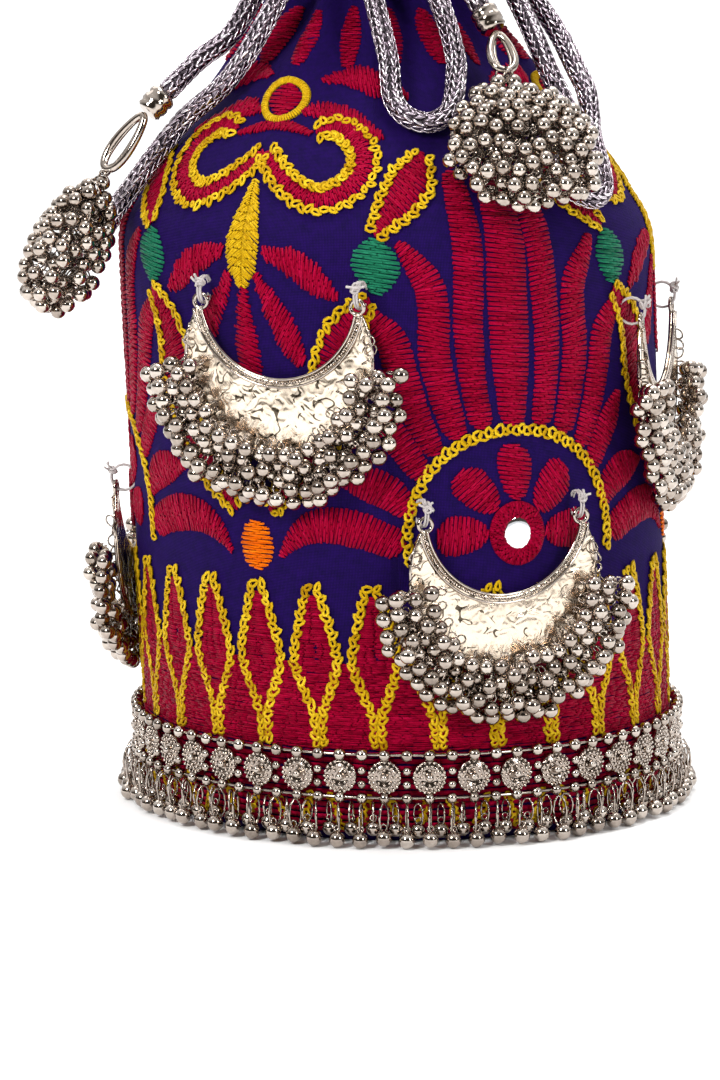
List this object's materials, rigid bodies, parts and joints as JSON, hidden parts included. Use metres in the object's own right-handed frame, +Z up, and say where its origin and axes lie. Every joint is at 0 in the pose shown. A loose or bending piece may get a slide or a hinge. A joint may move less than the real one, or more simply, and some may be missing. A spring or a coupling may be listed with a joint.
{
  "type": "potli bag",
  "caption": "Round drawstring pouch of embroidered cloth with a gathered neck, hanging crescent pendants, a medallion and drop trim at its foot, slack cords and two ball tassels.",
  "frame": {"origin": "centre of the flat underside, on the surface that the bag stands on", "axes": "+Z up towards the mouth, -Y towards the front, +X to the right as seen from the front"},
  "size_m": [0.1939, 0.185, 0.2617],
  "materials": {
    "indigo_cloth": "matt woven cloth",
    "lining_cloth": "smooth lining cloth",
    "crimson_thread": "silky stitched thread",
    "yellow_thread": "silky chain stitch",
    "green_thread": "silky satin stitch",
    "orange_thread": "silky satin stitch",
    "mirror_glass": "small round mirror",
    "silver_metal": "bright white metal",
    "cotton_thread": "white cotton thread",
    "silver_cord": "knitted metallic yarn"
  },
  "bodies": {
    "bag": {"outer_shell": "indigo_cloth", "lining": "lining_cloth", "base_disc": "indigo_cloth", "hem_field": "crimson_thread", "hem_line": "yellow_thread", "lotus_arch_1": "yellow_thread", "lotus_fan_1": "crimson_thread", "mirror_1": "mirror_glass", "ogee_scroll_1": "crimson_thread", "ogee_leaf_1": "yellow_thread", "orange_spot_1": "orange_thread", "lotus_arch_2": "yellow_thread", "lotus_fan_2": "crimson_thread", "mirror_2": "mirror_glass", "ogee_scroll_2": "crimson_thread", "ogee_leaf_2": "yellow_thread", "orange_spot_2": "orange_thread", "lotus_arch_3": "yellow_thread", "lotus_fan_3": "crimson_thread", "mirror_3": "mirror_glass", "ogee_scroll_3": "crimson_thread", "ogee_leaf_3": "yellow_thread", "orange_spot_3": "orange_thread", "green_spot_1": "green_thread", "green_spot_2": "green_thread", "green_spot_3": "green_thread", "green_spot_4": "green_thread", "green_spot_5": "green_thread", "green_spot_6": "green_thread", "thread_1_left": "cotton_thread", "thread_1_right": "cotton_thread", "thread_2_left": "cotton_thread", "thread_2_right": "cotton_thread", "thread_3_left": "cotton_thread", "thread_3_right": "cotton_thread", "thread_4_left": "cotton_thread", "thread_4_right": "cotton_thread", "thread_5_left": "cotton_thread", "thread_5_right": "cotton_thread", "thread_6_left": "cotton_thread", "thread_6_right": "cotton_thread", "foot_trim": "silver_metal", "cord_left_drop": "silver_cord", "cord_left_handle": "silver_cord", "cord_front_slack": "silver_cord", "cord_right_drop": "silver_cord", "cord_right_slack": "silver_cord", "crimp_left": "silver_metal", "crimp_right": "silver_metal"},
    "crescent_1_body": {"crescent_1": "silver_metal"},
    "crescent_2_body": {"crescent_2": "silver_metal"},
    "crescent_3_body": {"crescent_3": "silver_metal"},
    "crescent_4_body": {"crescent_4": "silver_metal"},
    "crescent_5_body": {"crescent_5": "silver_metal"},
    "crescent_6_body": {"crescent_6": "silver_metal"},
    "tassel_left": {"bail_left": "silver_metal", "ball_bunch_left": "silver_metal"},
    "tassel_right": {"bail_right": "silver_metal", "ball_bunch_right": "silver_metal"}
  },
  "joints": [
    {"name": "crescent_1_swing", "type": "hinge", "parent": "bag", "child": "crescent_1_body", "pos_m": [-0.07982, 0.01081, 0.08965], "axis": [0.1392, 0.9903, 0], "range_deg": [0, 75]},
    {"name": "crescent_2_swing", "type": "hinge", "parent": "bag", "child": "crescent_2_body", "pos_m": [-0.03461, -0.07202, 0.14867], "axis": [-0.9272, 0.3746, 0], "range_deg": [0, 75]},
    {"name": "crescent_3_swing", "type": "hinge", "parent": "bag", "child": "crescent_3_body", "pos_m": [0.02622, -0.07203, 0.08965], "axis": [-0.9272, -0.3746, 0], "range_deg": [0, 75]},
    {"name": "crescent_4_swing", "type": "hinge", "parent": "bag", "child": "crescent_4_body", "pos_m": [0.07026, -0.0188, 0.14064], "axis": [-0.2419, -0.9703, 0], "range_deg": [0, 75]},
    {"name": "crescent_5_swing", "type": "hinge", "parent": "bag", "child": "crescent_5_body", "pos_m": [0.04495, 0.06122, 0.08965], "axis": [0.788, -0.6157, 0], "range_deg": [0, 75]},
    {"name": "crescent_6_swing", "type": "hinge", "parent": "bag", "child": "crescent_6_body", "pos_m": [-0.02566, 0.07501, 0.14967], "axis": [0.9659, 0.2588, 0], "range_deg": [0, 75]},
    {"name": "tassel_left_swing", "type": "hinge", "parent": "bag", "child": "tassel_left", "pos_m": [-0.073, -0.03367, 0.197], "axis": [0, 1, 0], "range_deg": [0, 60]},
    {"name": "tassel_right_swing", "type": "hinge", "parent": "bag", "child": "tassel_right", "pos_m": [0.02474, -0.03821, 0.21961], "axis": [-0.9659, -0.2588, 0], "range_deg": [0, 60]}
  ]
}
